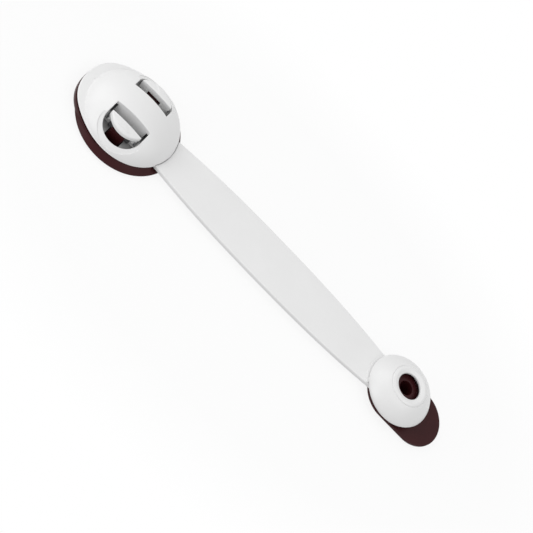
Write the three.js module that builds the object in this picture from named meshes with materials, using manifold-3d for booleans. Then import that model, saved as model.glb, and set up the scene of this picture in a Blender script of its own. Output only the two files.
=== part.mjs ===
import * as THREE from 'three';
import { mergeVertices } from 'three/addons/utils/BufferGeometryUtils.js';
import Module from 'manifold-3d';

const wasm = await Module();
wasm.setup();

// Driving dimensions in millimetres, with the origin in the middle of the latch pad's sticky face
const JOIN_GAP = 0.1;
const CLEARANCE = 0.3;
const RUN_CLEARANCE = 0.4;
const OVERLAP = 0.3;

// Bases and pads
const PAD_THICKNESS = 0.9;
const PAD_INSET = 1.8;
const PLATE_THICKNESS = 1.3;
const PLATE_CHAMFER = 0.35;
const BASE_FLANGE = 2.1;
const BASE_EDGE_HEIGHT = 0.55;
const RING_TOP_INSET = 0.5;
const RING_WALL = 1.2;
const ANCHOR_X = 144.1;
const ANCHOR_PLATE_RADIUS = 12.0;
const ANCHOR_PLATE_REACH = 12.45;

// Strap
const STRAP_THICKNESS = 2.0;
const STRAP_EDGE_ROUND = 0.5;
const STRAP_MID_HALF_WIDTH = 10.9;
const STRAP_END_HALF_WIDTH = 8.25;
const STRAP_WAIST_POWER = 2.4;
const STRAP_HEAD_END = 9.0;

// Domed cover of the latch head
const COVER_RADIUS = 19.6;
const COVER_RISE = 9.45;
const COVER_WALL = 1.6;
const COVER_FULLNESS = 0.65;
const WINDOW_HALF_WIDTH = 8.05;
const WINDOW_MARGIN = 2.6;
const WINDOW_END_HEIGHT = 6.6;
const RIDGE_WALL = 1.4;
const FINGER_REST_INSET = 0.1;
const FINGER_REST_DROP = 1.55;
const FINGER_REST_SLOPE = 29.5;
const LIP_REACH = 3.5;
const LIP_HALF_ANGLE = 44;
const LIP_END_ANGLE = 80;
const LIP_THICKNESS = 1.0;

// Buttons, catches and springs
const BUTTON_HALF_WIDTH = 7.1;
const BUTTON_LENGTH = 4.45;
const BUTTON_PROUD = 0.25;
const BUTTON_CROWN_RADIUS = 27;
const FINGER_GAP = 2.75;
const PRESS_GAP = 4.2;
const BUTTON_SIDE = 0.45;
const BUTTON_WALL = 2.0;
const BUTTON_TRAVEL = 2.4;
const SKIRT_THICKNESS = 1.2;
const SKIRT_BOTTOM = 9.9;
const LEG_WIDTH = 2.0;
const LEG_DEPTH = 2.0;
const CHEEK_DEPTH = 0.5;
const FOOT_HALF_REACH = 8.2;
const FOOT_WIDTH = 2.1;
const FOOT_DEPTH = 3.6;
const FOOT_HEIGHT = 0.9;
const CATCH_HALF_WIDTH = 3.1;
const CATCH_SETBACK = 2.0;
const CATCH_THICKNESS = 1.6;
const CATCH_TOP = 8.7;
const TOOTH_HALF_WIDTH = 2.65;
const TOOTH_REACH = 1.7;
const TOOTH_BOTTOM = 6.6;
const TOOTH_TIP_HEIGHT = 0.8;
const LOOP_RAIL_WIDTH = 1.75;
const LOOP_BAR_HEIGHT = 1.2;
const SPRING_X = 6.1;
const SPRING_Z = 6.02;
const SPRING_RADIUS = 0.8;
const SPRING_WIRE_RADIUS = 0.22;
const SPRING_TURNS = 5;
const SPIGOT_RADIUS = 0.45;
const SPIGOT_LENGTH = 1.2;

// Frame under the cover
const FRAME_THICKNESS = 1.8;
const SPRING_WALL_HALF = 1.4;
const RAIL_WALL = 0.8;
const RAIL_LIP_HEIGHT = 0.6;
const FRAME_RIM_WIDTH = 1.3;

// Screws
const SCREW_HEAD_RADIUS = 1.7;
const SCREW_HEAD_HEIGHT = 0.8;
const SCREW_SHANK_RADIUS = 0.9;
const SCREW_LENGTH = 4.8;
const BOSS_RADIUS = 2.2;
const HEAD_BOSS_INSET = 7.4;
const HEAD_BOSS_Y = 4.6;
const CAP_BOSS_Y = 9.3;
const CAP_BOSS_RADIUS = 2.0;

// Anchor cap, hub and pivot
const CAP_RADIUS = 14.4;
const CAP_CREST_RADIUS = 7.0;
const CAP_CREST_Z = 12.6;
const CAP_FLATNESS = 1.5;
const CAP_WIDEST_Z = 6.0;
const CAP_HOLE_RADIUS = 5.2;
const CAP_DISH_DEPTH = 0.6;
const CAP_WALL = 1.5;
const HUB_RADIUS = 11.9;
const SLEEVE_WALL = 1.0;
const POST_RADIUS = 5.4;
const POST_WALL = 1.4;
const POST_TOP = 8.0;
const RIVET_FLANGE_RADIUS = 6.8;
const RIVET_FLANGE_THICKNESS = 1.0;
const RIVET_CROWN = 0.6;
const RIVET_WALL = 0.8;

// Places across the head that follow from the cover's radius
const LATCH_BASE_RADIUS = COVER_RADIUS + BASE_FLANGE;
const RING_TOP_RADIUS = COVER_RADIUS - RING_TOP_INSET;
const RING_INNER_RADIUS = RING_TOP_RADIUS - RING_WALL;
const HEAD_BOSS_X = COVER_RADIUS - HEAD_BOSS_INSET;
const WINDOW_OUTER_Y = COVER_RADIUS - WINDOW_MARGIN;
const FINGER_REST_Y = COVER_RADIUS - FINGER_REST_INSET;
const BUTTON_OUTER_Y = WINDOW_OUTER_Y - FINGER_GAP;
const BUTTON_INNER_Y = BUTTON_OUTER_Y - BUTTON_LENGTH;
const BUTTON_BULGE = BUTTON_LENGTH - BUTTON_SIDE;
const BUTTON_ARC_RADIUS = (BUTTON_HALF_WIDTH ** 2 + BUTTON_BULGE ** 2) / (2 * BUTTON_BULGE);
const WINDOW_INNER_Y = BUTTON_INNER_Y - PRESS_GAP;
const CATCH_INNER_Y = BUTTON_INNER_Y + CATCH_SETBACK;
const TOOTH_TIP_Y = CATCH_INNER_Y - TOOTH_REACH;

// Heights that follow from the stack of pieces
const PLATE_BOTTOM = PAD_THICKNESS + JOIN_GAP;
const PLATE_TOP = PLATE_BOTTOM + PLATE_THICKNESS;
const STRAP_BOTTOM = PLATE_TOP + RUN_CLEARANCE;
const STRAP_TOP = STRAP_BOTTOM + STRAP_THICKNESS;
const STRAP_MID_Z = (STRAP_BOTTOM + STRAP_TOP) / 2;
const COVER_RIM_Z = STRAP_TOP - RUN_CLEARANCE;
const COVER_EQUATOR_Z = COVER_RIM_Z + JOIN_GAP;
const RING_TOP = COVER_RIM_Z - RUN_CLEARANCE;
const FRAME_TOP = STRAP_TOP;
const FRAME_BOTTOM = FRAME_TOP - FRAME_THICKNESS;
const FRAME_RADIUS = RING_INNER_RADIUS - CLEARANCE - JOIN_GAP;
const FOOT_BOTTOM = FRAME_TOP + CLEARANCE;
const FOOT_TOP = FOOT_BOTTOM + FOOT_HEIGHT;
const RAIL_TOP = FOOT_TOP + CLEARANCE + RAIL_LIP_HEIGHT;
const BUTTON_TOP = domeHeight(BUTTON_INNER_Y) + BUTTON_PROUD;
const LEG_OUTER = BUTTON_HALF_WIDTH;
const LEG_INNER = LEG_OUTER - LEG_WIDTH;
const CHEEK_INNER = CATCH_HALF_WIDTH + RUN_CLEARANCE;
const LOOP_OUTER = LEG_INNER - CLEARANCE;
const LOOP_INNER = LOOP_OUTER - LOOP_RAIL_WIDTH;
const LOOP_OUTER_Y = BUTTON_INNER_Y + SKIRT_THICKNESS;
const LOOP_BAR_TOP = TOOTH_BOTTOM - RUN_CLEARANCE;
const LOOP_BOTTOM = LOOP_BAR_TOP - LOOP_BAR_HEIGHT;
const BOSS_BOTTOM = STRAP_TOP + CLEARANCE;
const PILOT_RADIUS = SCREW_SHANK_RADIUS + CLEARANCE;
const SCREW_COUNTERBORE_RADIUS = SCREW_HEAD_RADIUS + CLEARANCE;
const SCREW_COUNTERBORE_DEPTH = SCREW_HEAD_HEIGHT + 2 * JOIN_GAP;
const STRAP_MID_X = (COVER_RADIUS + ANCHOR_X - CAP_RADIUS) / 2;
const STRAP_HALF_SPAN = STRAP_MID_X - COVER_RADIUS;
const STRAP_SLOT_HALF = STRAP_END_HALF_WIDTH + RUN_CLEARANCE;
const POST_BORE_RADIUS = POST_RADIUS - POST_WALL;
const HUB_BORE_RADIUS = POST_RADIUS + RUN_CLEARANCE;
const RIVET_SHANK_RADIUS = POST_BORE_RADIUS - CLEARANCE;
const RIVET_FLANGE_BOTTOM = POST_TOP + CLEARANCE;
const RIVET_TOP = RIVET_FLANGE_BOTTOM + RIVET_FLANGE_THICKNESS;
const CAP_BOTTOM = STRAP_TOP + CLEARANCE;

const FINE = 48;
const ROUND = 24;
const SMALL = 12;

const degrees = (angle) => (angle * Math.PI) / 180;

// One solid from a three.js geometry, with shared corners and no collapsed triangles
function solid(geometry) {
  geometry.deleteAttribute('normal');
  geometry.deleteAttribute('uv');
  const merged = mergeVertices(geometry, 1e-4);
  const index = merged.index.array;
  const triVerts = [];
  for (let i = 0; i < index.length; i += 3) {
    const [a, b, c] = [index[i], index[i + 1], index[i + 2]];
    if (a !== b && b !== c && c !== a) {
      triVerts.push(a, b, c);
    }
  }
  return new wasm.Manifold(new wasm.Mesh({
    numProp: 3,
    vertProperties: new Float32Array(merged.attributes.position.array),
    triVerts: new Uint32Array(triVerts),
  }));
}

// A named mesh from a solid, with a material of its own
function piece(name, body, colour, roughness) {
  const data = body.getMesh();
  const geometry = new THREE.BufferGeometry();
  geometry.setAttribute('position', new THREE.BufferAttribute(data.vertProperties, 3));
  geometry.setIndex(new THREE.BufferAttribute(data.triVerts, 1));
  geometry.computeVertexNormals();
  const material = new THREE.MeshStandardMaterial({ color: colour, roughness });
  const mesh = new THREE.Mesh(geometry, material);
  mesh.name = name;
  return mesh;
}

function box(x0, x1, y0, y1, z0, z1) {
  const geometry = new THREE.BoxGeometry(x1 - x0, y1 - y0, z1 - z0);
  geometry.translate((x0 + x1) / 2, (y0 + y1) / 2, (z0 + z1) / 2);
  return solid(geometry);
}

function drum(x, y, radius, z0, z1, sides = ROUND) {
  const geometry = new THREE.CylinderGeometry(radius, radius, z1 - z0, sides);
  geometry.rotateX(Math.PI / 2);
  geometry.translate(x, y, (z0 + z1) / 2);
  return solid(geometry);
}

function rodAlongY(x, z, radius, y0, y1, sides = SMALL) {
  const geometry = new THREE.CylinderGeometry(radius, radius, y1 - y0, sides);
  geometry.translate(x, (y0 + y1) / 2, z);
  return solid(geometry);
}

// A turned solid about Z from [radius, height] points, listed upwards along the outside
function turned(profile, sides = FINE) {
  const geometry = new THREE.LatheGeometry(profile.map(([r, z]) => new THREE.Vector2(r, z)), sides);
  geometry.rotateX(Math.PI / 2);
  return solid(geometry);
}

function prism(shape, z0, z1, curveSegments = SMALL) {
  const geometry = new THREE.ExtrudeGeometry(shape, { depth: z1 - z0, bevelEnabled: false, curveSegments });
  geometry.translate(0, 0, z0);
  return solid(geometry);
}

// A prism along X from [y, z] points
function prismAlongX(points, x0, x1) {
  const shape = new THREE.Shape(points.map(([y, z]) => new THREE.Vector2(y, z)));
  const geometry = new THREE.ExtrudeGeometry(shape, { depth: x1 - x0, bevelEnabled: false });
  geometry.translate(0, 0, x0);
  const axes = new THREE.Matrix4();
  axes.makeBasis(new THREE.Vector3(0, 1, 0), new THREE.Vector3(0, 0, 1), new THREE.Vector3(1, 0, 0));
  geometry.applyMatrix4(axes);
  return solid(geometry);
}

// The same solid on the front (-Y) side, made by half a turn about Z
const frontOf = (body) => body.rotate([0, 0, 180]);

// The window's outline on the +Y side: straight inner edge and sides, half-ellipse outer end
function windowShape() {
  const shoulder = WINDOW_OUTER_Y - WINDOW_END_HEIGHT;
  const shape = new THREE.Shape();
  shape.moveTo(-WINDOW_HALF_WIDTH, WINDOW_INNER_Y);
  shape.lineTo(WINDOW_HALF_WIDTH, WINDOW_INNER_Y);
  shape.absellipse(0, shoulder, WINDOW_HALF_WIDTH, WINDOW_END_HEIGHT, 0, Math.PI, false);
  shape.closePath();
  return shape;
}

// The button's outline on the +Y side: straight inner edge, short sides, arc on the outside
function buttonShape(halfWidth, innerY, outerY, arcRadius) {
  const shape = new THREE.Shape();
  const start = Math.acos(halfWidth / arcRadius);
  shape.moveTo(-halfWidth, innerY);
  shape.lineTo(halfWidth, innerY);
  shape.absarc(0, outerY - arcRadius, arcRadius, start, Math.PI - start, false);
  shape.closePath();
  return shape;
}

// Height of the cover's outside at a distance from its axis
function domeHeight(r) {
  return COVER_EQUATOR_Z + COVER_RISE * (1 - (r / COVER_RADIUS) ** 2) ** COVER_FULLNESS;
}

// The dome as a closed solid, shrunk inwards by an inset and reaching down to a given height
function dome(inset, bottom) {
  const radius = COVER_RADIUS - inset;
  const rise = COVER_RISE - inset;
  const steps = 8;
  const profile = [[0, bottom], [radius, bottom]];
  for (let i = 0; i <= steps; i += 1) {
    const angle = (i / steps) * (Math.PI / 2);
    const r = i === steps ? 0 : radius * Math.cos(angle);
    profile.push([r, COVER_EQUATOR_Z + rise * Math.sin(angle) ** (2 * COVER_FULLNESS)]);
  }
  return turned(profile);
}

// A gently rounded mound over the button, highest at the middle of the button's inner edge
function crown(top, bottom) {
  const steps = 5;
  const reach = 1.5 * BUTTON_HALF_WIDTH;
  const profile = [[0, bottom]];
  for (let i = 0; i <= steps; i += 1) {
    const r = reach * (1 - i / steps);
    profile.push([r, top - r ** 2 / (2 * BUTTON_CROWN_RADIUS)]);
  }
  profile.splice(1, 0, [reach, bottom]);
  return turned(profile).translate([0, BUTTON_INNER_Y, 0]);
}

// The lifting lip's outline: a bulge of the rim towards -X that fades out on both sides
function lipShape(innerRadius, extra) {
  const steps = 24;
  const shape = new THREE.Shape();
  for (let i = 0; i <= steps; i += 1) {
    const angle = LIP_END_ANGLE * ((2 * i) / steps - 1);
    const r = COVER_RADIUS + extra + LIP_REACH / (1 + (angle / LIP_HALF_ANGLE) ** 4);
    const x = -r * Math.cos(degrees(angle));
    const y = -r * Math.sin(degrees(angle));
    if (i === 0) {
      shape.moveTo(x, y);
    } else {
      shape.lineTo(x, y);
    }
  }
  const end = degrees(180 + LIP_END_ANGLE);
  shape.absarc(0, 0, innerRadius, end, degrees(180 - LIP_END_ANGLE), true);
  shape.closePath();
  return shape;
}

// An oblong with round ends about the anchor's pivot, reaching towards +X
function oblong(radius) {
  const shape = new THREE.Shape();
  shape.absarc(0, 0, radius, Math.PI / 2, (3 * Math.PI) / 2, false);
  shape.absarc(ANCHOR_PLATE_REACH, 0, radius, -Math.PI / 2, Math.PI / 2, false);
  shape.closePath();
  return shape;
}

// Latch base: brown round plate with a sloped ring, a tab under the lip and two catch posts
function latchBase() {
  const plate = turned([
    [0, PLATE_BOTTOM],
    [LATCH_BASE_RADIUS - PLATE_CHAMFER, PLATE_BOTTOM],
    [LATCH_BASE_RADIUS, PLATE_BOTTOM + PLATE_CHAMFER],
    [LATCH_BASE_RADIUS, PLATE_BOTTOM + BASE_EDGE_HEIGHT],
    [RING_TOP_RADIUS, RING_TOP],
    [RING_INNER_RADIUS, RING_TOP],
    [RING_INNER_RADIUS, PLATE_TOP],
    [0, PLATE_TOP],
  ]);
  const tab = prism(
    lipShape(RING_TOP_RADIUS - RING_WALL / 2, JOIN_GAP),
    PLATE_BOTTOM + BASE_EDGE_HEIGHT - OVERLAP, RING_TOP - OVERLAP,
  );
  const catchPost = box(
    -CATCH_HALF_WIDTH, CATCH_HALF_WIDTH,
    CATCH_INNER_Y, CATCH_INNER_Y + CATCH_THICKNESS,
    PLATE_TOP - OVERLAP, CATCH_TOP,
  );
  const tooth = prismAlongX([
    [CATCH_INNER_Y + OVERLAP, TOOTH_BOTTOM],
    [CATCH_INNER_Y + OVERLAP, CATCH_TOP - OVERLAP],
    [CATCH_INNER_Y, CATCH_TOP - OVERLAP],
    [TOOTH_TIP_Y, TOOTH_BOTTOM + TOOTH_TIP_HEIGHT],
    [TOOTH_TIP_Y, TOOTH_BOTTOM],
  ], -TOOTH_HALF_WIDTH, TOOTH_HALF_WIDTH);
  const rearCatch = catchPost.add(tooth);
  const strapSlot = box(
    STRAP_HEAD_END, LATCH_BASE_RADIUS + 1,
    -STRAP_SLOT_HALF - RUN_CLEARANCE, STRAP_SLOT_HALF + RUN_CLEARANCE,
    PLATE_TOP, RING_TOP + 1,
  );
  return plate.add(tab).subtract(strapSlot).add(rearCatch).add(frontOf(rearCatch));
}

// Head cover: white dome with two windows, flat finger rests, ridge walls, screw bosses and a lip
function headCover() {
  const lip = prism(
    lipShape(COVER_RADIUS - COVER_WALL / 2, 0),
    COVER_RIM_Z, COVER_RIM_Z + LIP_THICKNESS,
  );
  const outside = dome(0, COVER_RIM_Z).add(lip);
  const ridgeWall = box(
    -BUTTON_HALF_WIDTH, BUTTON_HALF_WIDTH,
    WINDOW_INNER_Y - RIDGE_WALL, WINDOW_INNER_Y,
    SPRING_Z + SPRING_RADIUS + 2 * SPRING_WIRE_RADIUS, COVER_EQUATOR_Z + COVER_RISE,
  );
  let inside = ridgeWall.add(frontOf(ridgeWall));
  let pilots = null;
  for (const x of [-HEAD_BOSS_X, HEAD_BOSS_X]) {
    for (const y of [-HEAD_BOSS_Y, HEAD_BOSS_Y]) {
      const boss = drum(x, y, BOSS_RADIUS, BOSS_BOTTOM, COVER_EQUATOR_Z + COVER_RISE, SMALL);
      const pilot = drum(x, y, PILOT_RADIUS, BOSS_BOTTOM - 1, BOSS_BOTTOM + SCREW_LENGTH - OVERLAP, SMALL);
      inside = inside.add(boss);
      pilots = pilots ? pilots.add(pilot) : pilot;
    }
  }
  const cavity = dome(COVER_WALL, COVER_RIM_Z - 1);
  const shell = outside.subtract(cavity).add(inside.intersect(dome(COVER_WALL / 2, COVER_RIM_Z)));
  const rearWindow = prism(
    windowShape(),
    COVER_RIM_Z + 1, COVER_EQUATOR_Z + COVER_RISE + 1,
  );
  const restGeometry = new THREE.BoxGeometry(2 * COVER_RADIUS, 2 * COVER_RADIUS, COVER_RADIUS);
  restGeometry.translate(0, 0, COVER_RADIUS / 2);
  restGeometry.rotateX(-degrees(FINGER_REST_SLOPE));
  restGeometry.translate(0, FINGER_REST_Y, COVER_EQUATOR_Z + FINGER_REST_DROP);
  const rearCut = rearWindow.add(solid(restGeometry));
  const strapSlot = box(
    HEAD_BOSS_X, COVER_RADIUS + 1,
    -STRAP_SLOT_HALF, STRAP_SLOT_HALF,
    COVER_RIM_Z - 1, STRAP_TOP + CLEARANCE,
  );
  return shell.subtract(rearCut).subtract(frontOf(rearCut)).subtract(strapSlot).subtract(pilots);
}

// Rear button: crowned tab, inner skirt, cheeks beside the catch, two legs with feet, two spring spigots
function button() {
  const outline = buttonShape(BUTTON_HALF_WIDTH, BUTTON_INNER_Y, BUTTON_OUTER_Y, BUTTON_ARC_RADIUS);
  const column = prism(outline, FOOT_BOTTOM, COVER_EQUATOR_Z + COVER_RISE + 1);
  const mound = crown(BUTTON_TOP, FOOT_BOTTOM - 1);
  const hollow = crown(BUTTON_TOP - BUTTON_WALL, FOOT_BOTTOM - 2);
  const tab = mound.subtract(hollow).intersect(column);
  let under = box(
    -BUTTON_HALF_WIDTH, BUTTON_HALF_WIDTH,
    BUTTON_INNER_Y, BUTTON_INNER_Y + SKIRT_THICKNESS,
    SKIRT_BOTTOM, COVER_EQUATOR_Z + COVER_RISE,
  );
  let feet = null;
  for (const side of [-1, 1]) {
    const legX = [side * LEG_INNER, side * LEG_OUTER].sort((a, b) => a - b);
    const footX = [side * (FOOT_HALF_REACH - FOOT_WIDTH), side * FOOT_HALF_REACH].sort((a, b) => a - b);
    const cheekX = [side * CHEEK_INNER, side * (LEG_INNER + OVERLAP)].sort((a, b) => a - b);
    const leg = box(
      ...legX,
      BUTTON_INNER_Y, BUTTON_INNER_Y + LEG_DEPTH,
      FOOT_BOTTOM, COVER_EQUATOR_Z + COVER_RISE,
    );
    const cheek = box(
      ...cheekX,
      LOOP_OUTER_Y + CLEARANCE, LOOP_OUTER_Y + CLEARANCE + CHEEK_DEPTH,
      FOOT_BOTTOM, COVER_EQUATOR_Z + COVER_RISE,
    );
    const foot = box(...footX, BUTTON_INNER_Y, BUTTON_INNER_Y + FOOT_DEPTH, FOOT_BOTTOM, FOOT_TOP);
    const spigot = rodAlongY(
      side * SPRING_X, SPRING_Z, SPIGOT_RADIUS,
      BUTTON_INNER_Y - SPIGOT_LENGTH, BUTTON_INNER_Y + OVERLAP, 10,
    );
    under = under.add(leg).add(cheek);
    feet = feet ? feet.add(foot).add(spigot) : foot.add(spigot);
  }
  const limit = crown(BUTTON_TOP - BUTTON_WALL / 2, FOOT_BOTTOM - 1);
  return tab.add(under.intersect(limit).intersect(column)).add(feet);
}

// Rear latch loop: two rails and a bar that hooks under the catch tooth
function latchLoop() {
  const outer = box(
    -LOOP_OUTER, LOOP_OUTER,
    BUTTON_INNER_Y, LOOP_OUTER_Y,
    LOOP_BOTTOM, SKIRT_BOTTOM - CLEARANCE,
  );
  const opening = box(
    -LOOP_INNER, LOOP_INNER,
    BUTTON_INNER_Y - 1, LOOP_OUTER_Y + 1,
    LOOP_BAR_TOP, SKIRT_BOTTOM,
  );
  return outer.subtract(opening);
}

class SpringPath extends THREE.Curve {
  constructor(length) {
    super();
    this.length = length;
  }

  getPoint(t, target = new THREE.Vector3()) {
    const angle = 2 * Math.PI * SPRING_TURNS * t;
    return target.set(SPRING_RADIUS * Math.cos(angle), this.length * t, SPRING_RADIUS * Math.sin(angle));
  }
}

// A return spring along Y between the frame's spring wall and a button's leg
function returnSpring() {
  const start = SPRING_WALL_HALF + CLEARANCE + SPRING_WIRE_RADIUS;
  const end = BUTTON_INNER_Y - CLEARANCE - SPRING_WIRE_RADIUS;
  const wire = new THREE.Shape();
  wire.absarc(0, 0, SPRING_WIRE_RADIUS, 0, 2 * Math.PI, false);
  const geometry = new THREE.ExtrudeGeometry(wire, {
    steps: SPRING_TURNS * 8,
    curveSegments: 3,
    extrudePath: new SpringPath(end - start),
  });
  geometry.translate(0, start, 0);
  return solid(geometry);
}

// Head frame: grey plate with catch openings, foot rails, end stops and a sprung middle wall
function headFrame() {
  let frame = drum(0, 0, FRAME_RADIUS, FRAME_BOTTOM, FRAME_TOP, FINE);
  const strapSpace = box(
    STRAP_HEAD_END - RUN_CLEARANCE, FRAME_RADIUS + 1,
    -STRAP_SLOT_HALF - RUN_CLEARANCE, STRAP_SLOT_HALF + RUN_CLEARANCE,
    FRAME_BOTTOM - 1, FRAME_TOP + 1,
  );
  frame = frame.subtract(strapSpace);
  const springWall = box(
    -SPRING_X - BOSS_RADIUS / 2, SPRING_X + BOSS_RADIUS / 2,
    -SPRING_WALL_HALF, SPRING_WALL_HALF,
    FRAME_TOP - OVERLAP, SPRING_Z + BOSS_RADIUS / 2,
  );
  frame = frame.add(springWall);
  let half = null;
  for (const side of [-1, 1]) {
    const wallInner = FOOT_HALF_REACH + RUN_CLEARANCE;
    const wallX = [side * wallInner, side * (wallInner + RAIL_WALL)].sort((a, b) => a - b);
    const lipX = [side * (BUTTON_HALF_WIDTH + RUN_CLEARANCE), side * (wallInner + RAIL_WALL)];
    lipX.sort((a, b) => a - b);
    const stopX = [side * LEG_OUTER, side * FOOT_HALF_REACH].sort((a, b) => a - b);
    const railY = [BUTTON_INNER_Y - BUTTON_TRAVEL - CLEARANCE, BUTTON_INNER_Y + FOOT_DEPTH - RUN_CLEARANCE];
    const stopY = BUTTON_INNER_Y + FOOT_DEPTH + CLEARANCE;
    const wall = box(...wallX, ...railY, FRAME_TOP - OVERLAP, RAIL_TOP);
    const lip = box(...lipX, ...railY, RAIL_TOP - RAIL_LIP_HEIGHT, RAIL_TOP);
    const stop = box(...stopX, stopY, stopY + 1, FRAME_TOP - OVERLAP, FOOT_TOP);
    const spigot = rodAlongY(
      side * SPRING_X, SPRING_Z, SPIGOT_RADIUS,
      SPRING_WALL_HALF - OVERLAP, SPRING_WALL_HALF + SPIGOT_LENGTH, 10,
    );
    const one = wall.add(lip).add(stop).add(spigot);
    half = half ? half.add(one) : one;
  }
  frame = frame.add(half).add(frontOf(half));
  const opening = box(
    -CATCH_HALF_WIDTH - RUN_CLEARANCE, CATCH_HALF_WIDTH + RUN_CLEARANCE,
    TOOTH_TIP_Y - RUN_CLEARANCE, FRAME_RADIUS - FRAME_RIM_WIDTH,
    FRAME_BOTTOM - 1, FRAME_TOP + 1,
  );
  frame = frame.subtract(opening).subtract(frontOf(opening));
  for (const y of [-HEAD_BOSS_Y, HEAD_BOSS_Y]) {
    frame = frame.subtract(screwHole(-HEAD_BOSS_X, y, FRAME_BOTTOM));
  }
  return frame;
}

// A counterbored screw hole through a plate whose underside is at a given height
function screwHole(x, y, bottom) {
  const hole = drum(x, y, PILOT_RADIUS, bottom - 1, bottom + 3, SMALL);
  const depth = SCREW_COUNTERBORE_DEPTH;
  const counterbore = drum(x, y, SCREW_COUNTERBORE_RADIUS, bottom - 1, bottom + depth, SMALL);
  return hole.add(counterbore);
}

// A pan-head screw that points up, with its head's underside face at z = 0
function screw() {
  const head = turned([
    [0, 0],
    [SCREW_HEAD_RADIUS * 0.8, 0],
    [SCREW_HEAD_RADIUS, SCREW_HEAD_HEIGHT / 2],
    [SCREW_HEAD_RADIUS, SCREW_HEAD_HEIGHT],
    [SCREW_SHANK_RADIUS, SCREW_HEAD_HEIGHT],
    [SCREW_SHANK_RADIUS, SCREW_LENGTH],
    [SCREW_SHANK_RADIUS * 0.4, SCREW_LENGTH + 0.6],
    [0, SCREW_LENGTH + 0.6],
  ], SMALL);
  const slot = box(-SCREW_HEAD_RADIUS, SCREW_HEAD_RADIUS, -0.2, 0.2, -1, SCREW_HEAD_HEIGHT / 2);
  return head.subtract(slot);
}

// Half the strap's width at a place along it
function strapHalfWidth(x) {
  const along = Math.abs(x - STRAP_MID_X) / STRAP_HALF_SPAN;
  return STRAP_MID_HALF_WIDTH - (STRAP_MID_HALF_WIDTH - STRAP_END_HALF_WIDTH) * along ** STRAP_WAIST_POWER;
}

// A length of strap with rounded edges
function strapLength(x0, x1) {
  const steps = 14;
  const places = Array.from({ length: steps + 1 }, (_, i) => x0 + ((x1 - x0) * i) / steps);
  const rear = places.map((x) => new THREE.Vector2(x, strapHalfWidth(x)));
  const front = places.map((x) => new THREE.Vector2(x, -strapHalfWidth(x)));
  const shape = new THREE.Shape([...front, ...rear.reverse()]);
  const geometry = new THREE.ExtrudeGeometry(shape, {
    depth: STRAP_THICKNESS - 2 * STRAP_EDGE_ROUND,
    bevelEnabled: true,
    bevelSize: STRAP_EDGE_ROUND,
    bevelOffset: -STRAP_EDGE_ROUND,
    bevelThickness: STRAP_EDGE_ROUND,
    bevelSegments: 2,
  });
  geometry.translate(0, 0, STRAP_BOTTOM + STRAP_EDGE_ROUND);
  return solid(geometry);
}

// Strap half on the head's side: screw holes inside the head, round end at the bend
function strapHeadHalf() {
  const band = strapLength(STRAP_HEAD_END, STRAP_MID_X + STRAP_EDGE_ROUND);
  const end = STRAP_MID_HALF_WIDTH - 2 * STRAP_EDGE_ROUND;
  const past = box(STRAP_MID_X, STRAP_MID_X + 2, -STRAP_MID_HALF_WIDTH - 1, STRAP_MID_HALF_WIDTH + 1, 0, 10);
  const knuckle = rodAlongY(STRAP_MID_X, STRAP_MID_Z, STRAP_THICKNESS / 2 - JOIN_GAP / 2, -end, end);
  let half = band.subtract(past).add(knuckle);
  for (const y of [-HEAD_BOSS_Y, HEAD_BOSS_Y]) {
    half = half.subtract(screwHole(HEAD_BOSS_X, y, STRAP_BOTTOM));
  }
  return half;
}

// Strap half on the anchor's side: flat end at the bend, round hub with a bearing sleeve
function strapAnchorHalf() {
  const start = STRAP_MID_X + STRAP_THICKNESS / 2 + CLEARANCE;
  const band = strapLength(start, ANCHOR_X - POST_RADIUS);
  const chamfer = STRAP_EDGE_ROUND;
  const hub = turned([
    [0, STRAP_BOTTOM],
    [HUB_RADIUS - chamfer, STRAP_BOTTOM],
    [HUB_RADIUS, STRAP_BOTTOM + chamfer],
    [HUB_RADIUS, STRAP_TOP - chamfer],
    [HUB_RADIUS - chamfer, STRAP_TOP],
    [HUB_BORE_RADIUS + SLEEVE_WALL, STRAP_TOP],
    [HUB_BORE_RADIUS + SLEEVE_WALL, POST_TOP],
    [0, POST_TOP],
  ]).translate([ANCHOR_X, 0, 0]);
  let half = band.add(hub).subtract(drum(ANCHOR_X, 0, HUB_BORE_RADIUS, 0, POST_TOP + 1));
  for (const y of [-CAP_BOSS_Y, CAP_BOSS_Y]) {
    half = half.subtract(screwHole(ANCHOR_X, y, STRAP_BOTTOM));
  }
  return half;
}

// Outline of the anchor cap, shrunk inwards by an inset, from its rim to its crest
function capProfile(inset, bottom) {
  const steps = 6;
  const across = CAP_RADIUS - CAP_CREST_RADIUS - inset;
  const rise = CAP_CREST_Z - CAP_WIDEST_Z - inset;
  const profile = [[CAP_RADIUS - inset - (CAP_WIDEST_Z - bottom) * 0.25, bottom]];
  for (let i = 0; i <= steps; i += 1) {
    const angle = (i / steps) * (Math.PI / 2);
    profile.push([
      CAP_CREST_RADIUS + across * Math.cos(angle) ** CAP_FLATNESS,
      CAP_WIDEST_Z + rise * Math.sin(angle) ** CAP_FLATNESS,
    ]);
  }
  return profile;
}

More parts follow.
